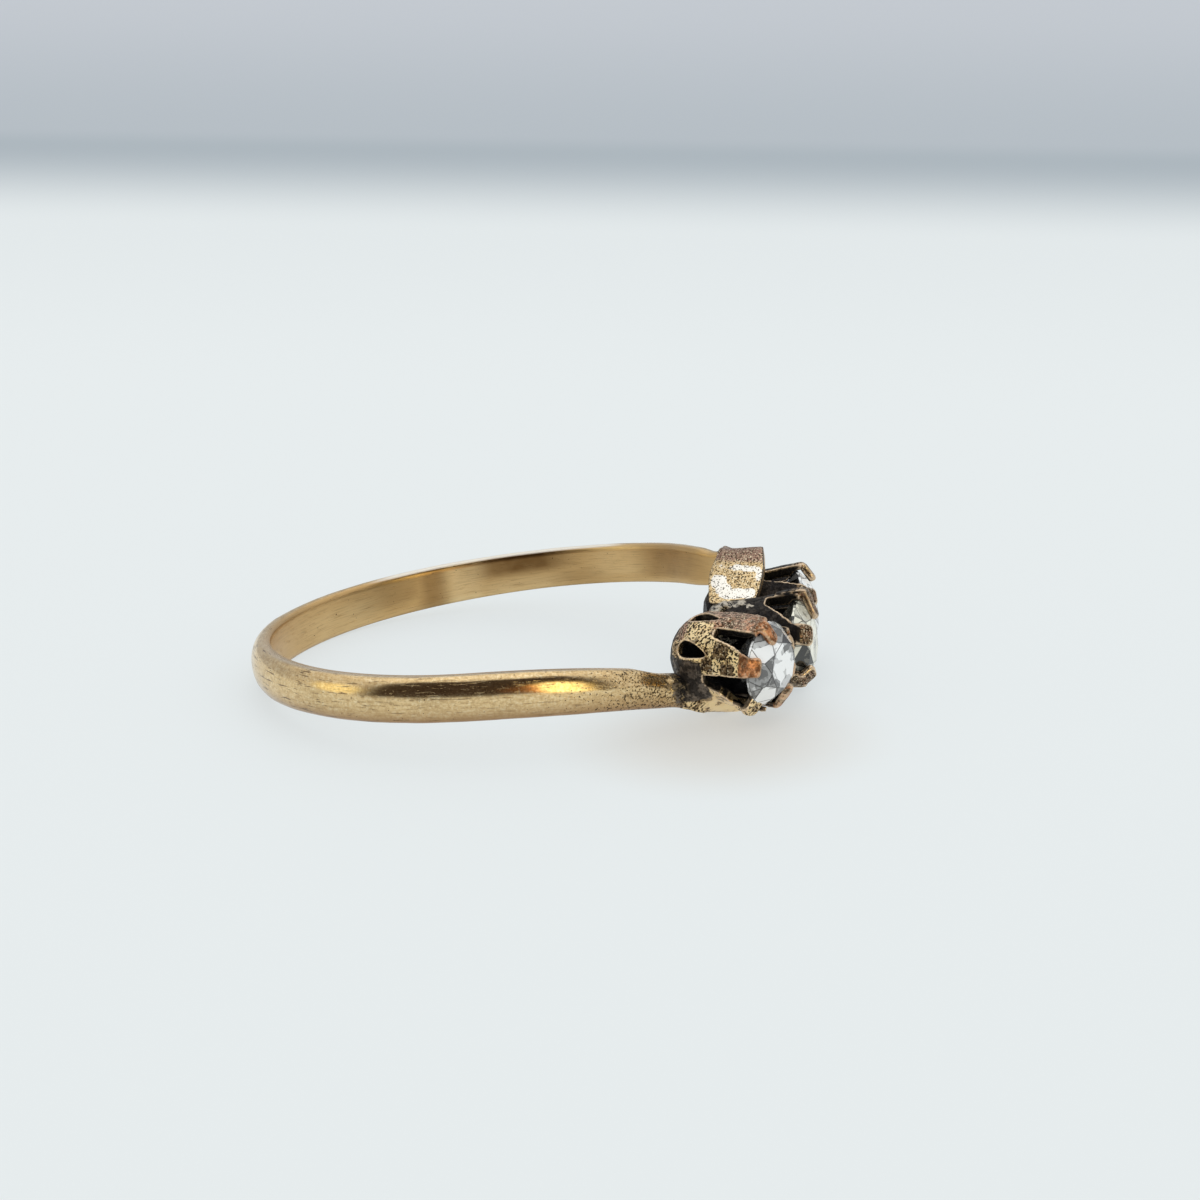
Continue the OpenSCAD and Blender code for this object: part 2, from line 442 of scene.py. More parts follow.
def band_gold(look):
    """Polished and scratched outside, pitted and black towards the head; painted shade and highlights inside,
    painted shade low on the near side, a painted reflection on the far end and a painted highlight on the
    rim.
    """
    s = Surface(bpy.data.materials.new("worn_band_gold"))
    at = s.in_mm()
    run = s.node("ShaderNodeUVMap", {"uv_map": "run"}, out="UV")
    inside = s.attribute("inside")
    soot = s.attribute("soot")
    pitted = s.attribute("pitted")
    scuffed = s.attribute("scuffed")
    shield = s.attribute("shield")
    framed = s.attribute("framed")
    shaded = s.attribute("shaded")
    rim = s.attribute("rim").between(0.45, 0.95)

    hairlines = s.grain(s.scaled(run, (0.8, 26, 1)), 1.0, 3.0, 0.6)
    scratches = s.grain(s.scaled(run, (0.9, 9, 1)), 1.0, 4.0, 0.65)
    deep = scratches.between(0.585, 0.63) * (0.45 + scuffed * 0.55)
    cloud = s.grain(at, 0.55, 3.0, 0.6)
    dim = s.attribute("dim") * (0.35 + cloud * 1.3)
    lit = s.attribute("lit") * (0.35 + cloud * 1.3)
    speckle = s.grain(at, 11.0, 2.0, 0.55)
    flecks = s.grain(at, 13.0, 1.0, 0.5).between(0.56, 0.64)
    mottle = s.grain(s.scaled(run, (3.0, 6.5, 1)), 1.0, 4.0, 0.7)
    dust = s.grain(at, 8.0, 3.0, 0.7)
    speckle = s.mix(shield, speckle, s.grain(at, 15.0, 1.0, 0.5))
    speckle = s.node("ShaderNodeSeparateColor", {}, speckle, out="Red")
    pits = speckle.between(0.72 - pitted * 0.20, 0.75 - pitted * 0.17)
    ragged = s.grain(at, 3.2, 4.0, 0.68)
    black = (soot + (ragged - 0.5) * 1.5).between(0.38, 0.64)

    outer = s.mix(cloud.between(0.35, 0.7), look.gold, times(look.gold, 0.86))
    outer = s.mix(mottle.between(0.50, 0.68) * 0.42, outer, BROWN_MOTTLE)
    outer = s.mix(mottle.between(0.48, 0.34) * 0.40, outer, PALE_MOTTLE)
    outer = s.mix(dust.between(0.50, 0.62) * 0.30, outer, BROWN_DUST)
    outer = s.mix(dust.between(0.47, 0.36) * 0.30, outer, PALE_GOLD)
    # Painted shade: the near side darkens towards the lower edge of its dome
    outer = s.mix(s.attribute("low") * (0.55 + scratches), outer, SHADE_LOW_BROWN)
    # Painted shade in mauve along the top of the shield
    outer = s.mix(shaded * (0.55 + ragged * 0.8), outer, look.mauve)
    outer = s.mix(flecks * shield * 0.6, outer, PALE_GOLD)
    # Painted reflection: white patches on the far end where a bright light shows
    glare = (framed + (ragged - 0.5) * 1.1).between(0.42, 0.58)
    outer = s.mix(glare * shield * 0.92, outer, GLARE_WHITE)
    outer = s.mix(hairlines.between(0.52, 0.70) * 0.40 * (1.0 - shield), outer, OUTER_HAIRLINE)
    outer = s.mix(deep * 0.8 * (1.0 - shield), outer, DEEP_SCRATCH)
    # Painted shade and painted highlights on the satin inside
    inner = s.mix(dim * 0.8, look.satin, PAINTED_SHADE_SATIN)
    inner = s.mix(lit * 0.7, inner, PAINTED_LIGHT_SATIN)
    inner = s.mix(hairlines.between(0.50, 0.70) * 0.40, inner, INNER_HAIRLINE)
    colour = s.mix(inside, outer, inner)
    colour = s.mix(pits * 0.85, colour, BAND_PIT)
    # Painted highlight: a light line along the band's rim
    colour = s.mix(rim * 0.9, colour, RIM_HIGHLIGHT_WHITE)
    colour = s.mix(black, colour, s.mix(ragged.between(0.46, 0.60), look.soot, look.crust))

    rough = 0.12 + hairlines * 0.10 + inside * 0.16 + deep * 0.05 + pits * 0.3
    rough = rough + black * 0.25 + shield * 0.14 + rim * 0.35
    height = hairlines * 0.05 - deep * 0.35 - pits * 0.9 + ragged * (black * 0.8 + shield * 1.5)
    normal = s.bump(height, 1.0, 0.000012)
    return s.finish(metal(s, colour, rough, normal))


def collet_gold(look):
    """Pitted gold with brown tarnish, rose claws, worn edges with a painted highlight, and black insides that
    are painted shade.
    """
    s = Surface(bpy.data.materials.new("pitted_collet_gold"))
    at = s.in_mm()
    soot = s.attribute("soot")
    rosy = s.attribute("rosy")
    coppery = s.attribute("coppery")
    browned = s.attribute("browned")
    worn = s.attribute("worn")

    speckle = s.grain(at, 11.0, 1.0, 0.5)
    flecks = s.grain(at, 14.0, 1.0, 0.5)
    ragged = s.grain(at, 3.0, 4.0, 0.68)
    cloud = s.grain(at, 1.5, 2.0, 0.5)
    pits = speckle.between(0.515, 0.555) * (1.0 - coppery * 0.7) * (1.0 - rosy * 0.15)
    pits = pits * (1.0 - s.attribute("clean"))
    black = (soot + (ragged - 0.5) * 0.75).between(0.38, 0.62)
    patches = (browned + (ragged - 0.5) * 0.6).between(0.40, 0.60)
    brown = ((cloud + (ragged - 0.5) * 0.5).between(0.53, 0.60) * 0.75).most(patches)
    # Worn edges, drawn lighter as a painted highlight and kept off the recesses
    worn_edge_highlight = (worn + (ragged - 0.5) * 0.45).between(0.72, 0.94) * s.attribute("open") * (1.0 - coppery * 0.5)

    colour = s.mix(cloud.between(0.35, 0.65), COLLET_BRIGHT, COLLET_GOLD)
    colour = s.mix(brown * 0.9, colour, COLLET_BROWN)
    rose = s.mix(ragged.between(0.40, 0.60), times(look.mauve, 0.5), times(look.mauve, 1.7))
    rose = s.mix(cloud.between(0.50, 0.62) * 0.6, rose, look.copper)
    colour = s.mix((rosy + (ragged - 0.5) * 0.7).between(0.30, 0.80) * 0.9, colour, rose)
    tips = s.mix(ragged.between(0.40, 0.62), times(look.copper, 0.45), times(look.copper, 1.6))
    colour = s.mix((coppery + (ragged - 0.5) * 0.8).between(0.35, 0.65), colour, tips)
    light = flecks.between(0.57, 0.64) * (0.5 + 0.3 * rosy) * (1.0 - coppery * 0.6) * (1.0 - soot)
    colour = s.mix(light, colour, COLLET_FLECK)
    colour = s.mix(pits * 0.95, colour, COLLET_PIT)
    # Soot on the open near collet is grey; the painted shade in the recesses stays black
    crusty = s.attribute("open") * s.attribute("crusty")
    dark = s.mix(crusty, look.soot, GREY_SOOT)
    colour = s.mix(black, colour, s.mix(ragged.between(0.46, 0.60) * crusty, dark, look.crust))
    colour = s.mix(worn_edge_highlight * 0.75, colour, EDGE_HIGHLIGHT)

    rough = 0.32 + ragged * 0.15 + pits * 0.25 + black * 0.08 - worn_edge_highlight * 0.12
    height = ragged * 0.9 + flecks * 0.3 - pits * 1.0
    normal = s.bump(height, 1.0, 0.000016)
    return s.finish(metal(s, colour, rough, normal))


def solder_grey(look):
    """Rough solder, black with painted glints on its crests and along thin lines."""
    s = Surface(bpy.data.materials.new("rough_solder"))
    at = s.in_mm()
    worn = s.attribute("worn")
    ragged = s.grain(at, 8.0, 4.0, 0.7)
    waves = s.grain(at, 3.6, 3.0, 0.6) - 0.5
    lines = (waves * waves).between(0.0012, 0.0002)
    # Painted glints on the crests and along thin lines
    glint = ((worn - 0.5) * 0.7 + ragged).between(0.59, 0.66).most(lines * 0.6)
    colour = s.mix(glint, look.soot, SOLDER_GLINT)
    normal = s.bump(ragged, 0.9, 0.00005)
    return s.finish(metal(s, colour, 0.22 + ragged * 0.2, normal))


def cut_stone(name, tint):
    """Cut stone: each facet is painted with a few flat patches, black, grey or white, as painted reflections
    of the facets behind it, with painted shade in dark lines round the facets and on the pavilion.
    """
    s = Surface(bpy.data.materials.new(name))
    facet = s.attribute("facet")
    shift = s.node("ShaderNodeCombineXYZ", {}, facet * 37.0, facet * 11.0, facet * 23.0)
    at = s.vector("ADD", s.in_mm(), shift)
    waves = s.node("ShaderNodeTexNoise", {}, Vector=at, Scale=1.6, Detail=1.0, out="Color")
    bent = s.vector("ADD", at, s.scaled(waves, (0.5, 0.5, 0.5)))
    tone = facet * 0.70 - 0.08
    for scale, weight in ((0.85, 0.34), (1.7, 0.16)):
        boxes = {"distance": "MANHATTAN"}
        cell = s.node("ShaderNodeTexVoronoi", boxes, Vector=bent, Scale=scale, out="Color")
        tone = tone + s.node("ShaderNodeSeparateColor", {}, cell, out="Red") * weight
    tone = tone + (s.grain(at, 2.6, 3.0, 0.6) - 0.5) * 0.36
    shade = 0.02
    for step, rise in ((0.25, 0.12), (0.39, 0.18), (0.50, 0.30), (0.60, 0.42)):
        shade = shade + tone.between(step, step + 0.03) * rise
    shade = shade * (0.74 + s.grain(at, 8.0, 3.0, 0.65) * 0.52)
    # Painted shade: dark lines round the facets, and darker facets below the girdle
    shade = shade * (1.0 - s.attribute("outline") * 0.72) * (1.0 - s.attribute("below") * 0.9)
    colour = s.mix(shade, BLACK, tint)
    faces = s.principled(Base_Color=colour, Roughness=0.05, IOR=1.6)
    depth = s.principled(Base_Color=tint, Roughness=0.02, IOR=2.42, Transmission_Weight=1.0)
    return s.finish(s.node("ShaderNodeMixShader", {}, 0.10, faces, depth))


# Band

DOME_POINTS = 30
FLAT_POINTS = 14
SHOULDER_START = 140
ARC_STEP = 1.25
SHOULDER_CUTS = 10
LEAN, WIDTH, THICK = 3, 4, 5


def band_rows(band):
    """Rows [x, y, z, lean, width, thickness] of the near and the far half, from the back to the head."""
    finger_r = band.finger_d / MM / 2
    w, t = band.width / MM, band.thickness / MM
    drop, rise = band.near_drop / MM, band.far_rise / MM
    mid_r = finger_r + t / 2

    def near_arc(b):
        a = math.radians(b)
        width = w * (1 - 0.21 * ramp(b, 105, 150) ** 2)
        return [-mid_r * math.cos(a), -mid_r * math.sin(a), -drop * ramp(b, 98, 150) ** 2, 0, width, t]

    def far_arc(b):
        a = math.radians(b)
        width = w * (1 - 0.12 * ramp(b, 0, 90) - 0.06 * ramp(b, 125, 155) ** 2)
        return [-mid_r * math.cos(a), mid_r * math.sin(a), rise * (b / 150) ** 1.75, 0, width, t]

    near_shoulder = [
        [finger_r - 0.90, -4.82, -drop * 0.97, 0, w * 0.74, t * 0.97],
        [finger_r - 0.25, -4.33, -drop * 1.12, 8, w * 0.72, t * 0.90],
        [finger_r + 0.40, -3.95, -drop * 1.34, 24, w * 0.74, t * 0.80],
        [finger_r + 0.92, -3.45, -drop * 1.66, 54, w * 0.78, t * 0.70],
        [finger_r + 1.04, -2.70, -drop * 2.12, 92, w * 0.90, t * 0.58],
        [finger_r + 0.88, -1.60, -drop * 2.14, 92, w * 0.76, t * 0.52],
        [finger_r + 0.80, -0.50, -drop * 2.06, 90, w * 0.66, t * 0.48],
    ]
    far_shoulder = [
        [finger_r - 0.85, 4.92, rise * 0.93, 0, w * 0.84, t * 0.97],
        [finger_r - 0.20, 4.45, rise * 0.94, 4, w * 0.75, t * 0.90],
        [finger_r + 0.45, 4.05, rise * 1.02, 20, w * 0.80, t * 0.80],
        [finger_r + 0.92, 3.50, rise * 1.27, 64, w * 0.90, t * 0.68],
        [finger_r + 1.12, 2.75, rise * 1.49, 96, w * 1.04, t * 0.58],
        [finger_r + 1.15, 1.70, rise * 1.22, 98, w * 1.22, t * 0.52],
        [finger_r + 1.15, 0.80, rise * 0.86, 92, w * 1.14, t * 0.48],
        [finger_r + 1.10, 0.10, rise * 0.60, 90, w * 0.98, t * 0.48],
    ]
    steps = int(SHOULDER_START / ARC_STEP)
    halves = []
    for arc, shoulder in ((near_arc, near_shoulder), (far_arc, far_shoulder)):
        rows = [arc(ARC_STEP * i) for i in range(steps)]
        tail = spline([arc(SHOULDER_START - 5), arc(SHOULDER_START)] + shoulder, SHOULDER_CUTS)
        halves.append([np.array(r) for r in rows] + tail[SHOULDER_CUTS:])
    return halves


def band_section(width, thick, edge):
    """Domed outside from top to bottom, then the flat inside back up; x outwards, y up."""
    corner, corner_start, corner_run, step = 0.05, 0.9, 0.1, 0.01
    points = []
    for i in range(DOME_POINTS):
        a = math.pi / 2 - math.pi * i / (DOME_POINTS - 1)
        points.append((edge - thick / 2 + (thick - edge) * math.cos(a), width / 2 * math.sin(a)))
    for i in range(FLAT_POINTS):
        s = -1 + 2 * i / (FLAT_POINTS - 1)
        inset = corner * max(0, (abs(s) - corner_start) / corner_run) ** 2
        points.append((-thick / 2 + inset, s * (width / 2 - step)))
    return points


def band_loops(band, grow=None):
    """Loops of points along the band, from the far end to the near one; grow gives what to add at a place."""
    flat_edge = 0.80
    near, far = band_rows(band)
    edge_share = band.edge / band.thickness
    loops = []
    for rows, side in ((far, 1), (near, -1)):
        half = []
        for i, row in enumerate(rows):
            ahead, behind = rows[min(len(rows) - 1, i + 1)], rows[max(0, i - 1)]
            run = Vector((0, side, 0)) if i == 0 else Vector((ahead - behind)[:3]).normalized()
            lean = math.radians(row[LEAN])
            up = Vector((-side * math.sin(lean), 0, math.cos(lean)))
            up = (up - run * run.dot(up)).normalized()
            out = up.cross(run) * side
            here = Vector(row[:3])
            flat = smooth(row[LEAN], 5, 60)
            edge = row[THICK] * (edge_share + (flat_edge - edge_share) * flat)
            more = 2 * grow(here) if grow else 0
            section = band_section(row[WIDTH] + more, row[THICK] + more, edge + more)
            half.append([here + out * p[0] + up * p[1] for p in section])
        loops.append(half)
    return list(reversed(loops[0][1:])) + loops[1]


# Painted shade and painted highlights on the inside of the far half: place and reach along x in mm, from and
# to which height (-1 to 1), and strength
PAINTED_SHADE_SPOTS = [
    (-4.1, 0.7, -1.3, 1.3, 0.7),
    (-5.8, 1.6, -0.4, 1.3, 0.4),
    (-0.9, 2.4, 0.0, 1.3, 1.1),
    (1.8, 1.6, -1.3, -0.2, 0.3),
    (6.2, 2.0, -0.7, 0.9, 0.6),
]
PAINTED_LIGHT_SPOTS = [
    (-3.0, 0.9, -1.3, 1.3, 0.8),
    (-1.0, 2.2, -1.3, -0.3, 0.45),
    (3.6, 1.4, -0.6, 1.3, 0.5),
    (-7.2, 1.2, -1.3, 0.3, 0.4),
]

# White patches on the far end of the band, a painted reflection of a bright light: from and to which x, from
# and to which height in mm, strength
GLARE_FRAME = [
    ((8.70, 9.30), (1.57, 1.90), 1.0),
    ((8.95, 9.50), (1.40, 1.66), 1.0),
    ((9.10, 10.52), (1.26, 1.52), 1.0),
    ((9.50, 10.50), (2.03, 2.22), 0.85),
    ((10.44, 10.70), (1.72, 2.18), 0.75),
    ((8.85, 9.60), (2.08, 2.22), 0.55),
]

# Waves of the band's worn outside: depth and size in mm
BAND_WAVES = [(0.012, 1.3), (0.004, 0.35)]

# Dents of the band: place, reach and depth in mm
DENTS = [
    (Vector((-7.05, -6.3, -0.45)), 0.22, 0.02),
    (Vector((-7.5, -5.6, -0.1)), 0.3, 0.015),
]

# Middle of the black tarnish on the near end of the band
BAND_SOOT = Vector((8.80, -4.05, -0.95))


def within(value, low, high):
    """1 between low and high, and falling to 0 a little beyond them."""
    return smooth(value, low - 0.14, low + 0.12) * smooth(high + 0.14 - value, 0, 0.26)


def spot(value, middle, reach, edge):
    """1 near the middle, and falling to 0 over the edge, up to the reach."""
    return smooth(reach - abs(value - middle), 0, edge)


def spots_share(spots, x, height):
    """How strongly any of the spots shows at a point on the inside of the band."""
    share = 0.0
    for middle, reach, low, high, strength in spots:
        tall = smooth(height, low - 0.3, low + 0.3) * smooth(high + 0.3 - height, 0, 0.6)
        share = max(share, strength * spot(x, middle, 1.3 * reach, reach) * tall)
    return share


def band_marks(place, number):
    """Tarnish, wear, painted light and painted shade of a point of the band, from its place and its number
    around the section.
    """
    x, y, z = place
    outside = 1.0 if number < DOME_POINTS else 0.0
    # The shield is the outside of the far end, where it folds over the far collet
    shield = outside * (1.0 if y > -1 and x > 8.4 and z > 0.8 else 0.0)
    near = ramp(-y, 0, 2)
    soot = smooth(1.85 - (place - BAND_SOOT).length, 0.0, 1.7)
    if y > -1 and x > 8:
        soot = smooth(1.22 - z, 0, 0.22) + smooth(9.0 - x, 0, 0.4) * smooth(1.5 - z, 0, 0.3) * 0.5
    # Painted shade: thin dark lines along the shield's two edges
    if shield and (number < 2 or number >= DOME_POINTS - 2):
        soot = 0.8
    pitted = near * (0.10 + 0.90 * smooth(x, 3.8, 8.0)) + shield
    framed = max(share * within(x, *across) * within(z, *tall) for across, tall, share in GLARE_FRAME)
    # Painted highlight along the band's rim
    on_rim = number <= 2 or number >= DOME_POINTS + FLAT_POINTS - 1
    rim_highlight_share = smooth(x, -8.0, -5.0) * (smooth(5.5 - x, 0, 3.0) if y > 0 else 0.55)
    height = -1 + 2 * (number - DOME_POINTS) / (FLAT_POINTS - 1)
    far_inside = y > 0 and not outside
    return {
        "inside": 1.0 - outside,
        "soot": soot,
        # Painted shade, darker towards the lower edge of the near side
        "low": near * outside * (1 - shield) * smooth(number, 15, 27),
        "pitted": pitted * (1 - 0.45 * shield * framed),
        "scuffed": smooth(-x, -2.0, 6.0),
        "shield": shield,
        "framed": shield * framed,
        "rim": rim_highlight_share if on_rim else 0.0,
        # Painted shade and painted highlights on the inside of the far half
        "dim": spots_share(PAINTED_SHADE_SPOTS, x, height) if far_inside else 0.0,
        "lit": spots_share(PAINTED_LIGHT_SPOTS, x, height) if far_inside else 0.0,
        # Painted shade along the top of the shield
        "shaded": shield * smooth(z, 2.24, 2.36) * smooth(y, 1.2, 1.8),
    }


def lay_run(bm, loops, places):
    """Distances along and around the band in mm, as a texture map for the scratches."""
    uv = bm.loops.layers.uv.new("run")
    along = [0.0]
    for a, b in zip(loops, loops[1:]):
        along.append(along[-1] + (b[DOME_POINTS // 2] - a[DOME_POINTS // 2]).length)
    count = len(loops[0])
    around = [0.0]
    middle = loops[len(loops) // 2]
    for i in range(count):
        around.append(around[-1] + (middle[(i + 1) % count] - middle[i]).length)
    for face in bm.faces:
        numbers = [places[v][1] for v in face.verts]
        over_seam = 0 in numbers and count - 1 in numbers
        for loop in face.loops:
            j, i = places[loop.vert]
            loop[uv].uv = (along[j], around[count if over_seam and i == 0 else i])


class RING_OT_band(bpy.types.Operator):
    """Band with both swept ends"""

    bl_idname = "ring.band"
    bl_label = "Band"

    def execute(self, context):
        band = context.scene.ring_band
        loops = band_loops(band)
        bm = bmesh.new()
        rows = sweep(bm, loops)
        bmesh.ops.recalc_face_normals(bm, faces=bm.faces)
        places = {v: (j, i) for j, row in enumerate(rows) for i, v in enumerate(row)}
        lay_run(bm, loops, places)

        bm.normal_update()
        for v in bm.verts:
            if places[v][1] < DOME_POINTS:
                worn = sum(depth * noise.noise(v.co / size) for depth, size in BAND_WAVES)
                for centre, reach, depth in DENTS:
                    worn -= depth * smooth(reach - (v.co - centre).length, 0, reach)
                v.co += v.normal * worn
        clear_of_finger(bm, finger_radius(context))
        bm.verts.index_update()
        numbers = {v.index: i for v, (j, i) in places.items()}
        mesh = mesh_of(bm, "band")
        write_marks(mesh, [band_marks(v.co, numbers[v.index]) for v in mesh.vertices])
        finished("band", mesh, band_gold(context.scene.ring_finish), ["gold_mount"])
        return {"FINISHED"}


# Collets

# Each seat: bearing from the head, height at the finger hole in mm, and tilt of its axis
SEATS = {"near": (-18, 0.0, -4.5), "middle": (0, -0.42, 0), "far": (18, -0.18, 0)}

# Claws of each collet: turn from straight up towards the near side, lift of the bend, how far it leans out,
# width of the shaft and of the tip, and length and slope of the tip over the stone, in mm and degrees
CLAWS = {
    "near": [(24, 0.0, 0.0, 0.72, 0.54, 0.62, 22), (81, -0.20, 0.0, 0.80, 0.78, 0.45, 44),
             (150, -0.52, 0.16, 0.78, 0.88, 0.56, 22), (204, -0.08, 0.05, 0.80, 0.92, 0.60, 37),
             (246, -0.20, 0.0, 0.72, 0.70, 0.40, 42), (288, -0.25, -0.03, 0.68, 0.62, 0.36, 44)],
    "middle": [(-8, 0.0, 0.12, 0.70, 0.66, 0.95, 22), (68, 0.0, 0.0, 0.82, 0.84, 0.55, 42),
               (134, 0.0, 0.0, 0.78, 0.74, 0.48, 44), (196, -0.25, 0.0, 0.74, 0.70, 0.34, 44),
               (254, -0.25, 0.0, 0.74, 0.70, 0.34, 44), (303, -0.15, 0.0, 0.72, 0.70, 0.40, 44)],
    "far": [(-6, 0.0, 0.0, 0.62, 0.56, 0.60, 31), (58, -0.15, 0.0, 0.76, 0.72, 0.40, 44),
            (122, -0.20, 0.0, 0.78, 0.72, 0.34, 46), (182, -0.25, 0.0, 0.76, 0.72, 0.34, 44),
            (242, -0.25, 0.0, 0.76, 0.72, 0.34, 44), (300, -0.15, 0.0, 0.72, 0.70, 0.45, 44)],
}

# Gap after each claw: turns of its left side at the foot and the top, of its right side from the foot to the
# top, and height of the foot above the finger hole
GAPS = {
    "near": [(35, 39, (48, 56, 68), 2.10), (100, 93, (112, 119, 122, 131, 168, 168, 168, 168), 1.84),
             (172, 171, (184, 190), 2.3), (220, 220, (226, 231), 2.05),
             (262, 262, (270, 274), 2.05), (303, 303, (345, 366), 2.05)],
    "middle": [(4, 5, (21, 58), 2.60), (88, 86, (104, 121), 2.10), (147, 147, (160, 177), 2.05),
               (209, 209, (224, 241), 2.05), (267, 267, (277, 290), 2.05), (316, 316, (326, 340), 2.05)],
    "far": [(5, 5, (26, 45), 2.30), (71, 71, (90, 109), 2.05), (134, 134, (152, 169), 2.05),
            (195, 195, (213, 229), 2.05), (255, 255, (272, 287), 2.05), (313, 313, (327, 343), 2.05)],
}

# Turn from a claw to the hole under it, and size of the grid that worn metal is rebuilt on
HOLE_TURN = -12.5
VOXEL = 0.039

# Bumps of the collets: size and depth in mm, and the near one's seed
BROAD_BUMPS = (0.50, 0.028, 3.1)
FINE_BUMPS = (0.15, 0.010, 8.7)


def seat_matrix(seat, finger_r):
    bearing, height, tilt = SEATS[seat]
    return (
        Matrix.Rotation(math.radians(bearing), 4, "Z")
        @ Matrix.Translation((finger_r, 0, height))
        @ Matrix.Rotation(math.radians(90 - tilt), 4, "Y")
        @ Matrix.Rotation(math.pi, 4, "Z")
        @ Matrix.Translation((0, 0, -finger_r))
    )


def cup(collet, finger_r):
    """Round bottomed cup that opens into a cone, hollow inside, as a revolved wall."""
    cup_r, crown_r, wall = collet.cup_r / MM, collet.crown_r / MM, collet.wall / MM
    cup_z = finger_r - 0.2 + cup_r
    bend_z = finger_r + collet.bend_h / MM
    inner_r = cup_r - wall
    seat_r, ledge_r = 1.64, 1.44
    turns = np.radians(np.linspace(0, 90, 20))
    outer = [(cup_r * math.sin(a), cup_z - cup_r * math.cos(a)) for a in turns]
    outer += [(crown_r - 0.03, bend_z - 0.2), (crown_r - 0.06, bend_z - 0.02)]
    inner = [(seat_r, bend_z - 0.02), (seat_r, bend_z - 0.24), (ledge_r, bend_z - 0.42)]
    low_z, turns = cup_z + 0.1, np.radians(np.linspace(90, 0, 16))
    inner += [(inner_r * math.sin(a), low_z - inner_r * math.cos(a)) for a in turns]
    bm = bmesh.new()
    verts = [bm.verts.new((r, 0, z)) for r, z in outer + inner]
    edges = [bm.edges.new(pair) for pair in zip(verts, verts[1:])]
    bmesh.ops.spin(
        bm, geom=verts + edges, cent=(0, 0, 0), axis=(0, 0, 1), dvec=(0, 0, 0), angle=math.tau, steps=96,
        use_merge=True, use_duplicate=False,
    )
    bmesh.ops.remove_doubles(bm, verts=bm.verts, dist=1e-5)
    bmesh.ops.recalc_face_normals(bm, faces=bm.faces)
    return bm


def through_wall(rows, inner_r, outer_r):
    """A cutter through a cup's wall, from rows of places given as turns in degrees and heights."""
    bm = bmesh.new()
    grid = []
    for row in rows:
        turns = [(math.radians(turn), z) for turn, z in row]
        grid.append([bm.verts.new((inner_r * math.cos(a), inner_r * math.sin(a), z)) for a, z in turns])
    faces = []
    for low, high in zip(grid, grid[1:]):
        for i in range(len(low) - 1):
            faces.append(bm.faces.new((low[i], low[i + 1], high[i + 1], high[i])))
    made = bmesh.ops.extrude_face_region(bm, geom=faces)["geom"]
    new = [v for v in made if isinstance(v, bmesh.types.BMVert)]
    bmesh.ops.scale(bm, verts=new, vec=(outer_r / inner_r, outer_r / inner_r, 1))
    bmesh.ops.recalc_face_normals(bm, faces=bm.faces)
    return bm


def teardrop(middle, finger_r):
    """Rows of places of one hole, round below and with a tip that leans to one side."""
    radius, least, low, tip, tip_turn = 0.30, 0.02, finger_r + 0.95, finger_r + 1.93, 5.5
    round_share, tip_share, tip_half, wall_r = 0.55, 0.45, 0.035, 1.58
    rows = []
    for t in np.linspace(0, 1, 12):
        if t < round_share:
            a = math.pi * t / round_share * 0.5
            centre, half, z = middle, radius * math.sin(a) + least, low - radius * math.cos(a)
        else:
            share = (t - round_share) / tip_share
            half = radius * (1 - share**1.5) + tip_half
            centre, z = middle + tip_turn * share**1.3, low + (tip - low) * share
        spread = math.degrees(half / wall_r)
        rows.append([(centre - spread, z), (centre, z), (centre + spread, z)])
    return rows


def claw_gap(left_foot, left_top, right_turns, foot_z, top_z):
    """Rows of places of the gap between two claws, from its foot to well above its top."""
    rows = []
    for share in (*np.linspace(0, 1, 8), 1.5):
        left = left_foot + (left_top - left_foot) * min(share, 1)
        right = np.interp(share, np.linspace(0, 1, len(right_turns)), right_turns)
        z = foot_z + (top_z - foot_z) * share
        rows.append([(turn, z) for turn in np.linspace(left, right, 7)])
    return rows


# From and to which radius the cutters reach, in mm
HOLE_REACH = (0.8, 2.4)
GAP_REACH = (1.02, 2.7)


def openings(collet, finger_r, claws, gaps):
    """A cutter for the teardrop hole under each claw, and one for the gap after it."""
    top_z = finger_r + collet.bend_h / MM
    cutters = []
    for claw, (left_foot, left_top, right_turns, foot) in zip(claws, gaps):
        cutters.append(through_wall(teardrop(claw[0] + HOLE_TURN, finger_r), *HOLE_REACH))
        gap = claw_gap(left_foot, left_top, right_turns, finger_r + foot, top_z)
        cutters.append(through_wall(gap, *GAP_REACH))
    return cutters


def squared(value):
    """A sine or cosine changed so that it draws a rounded box, not a circle."""
    return math.copysign(abs(value) ** 0.6, value)


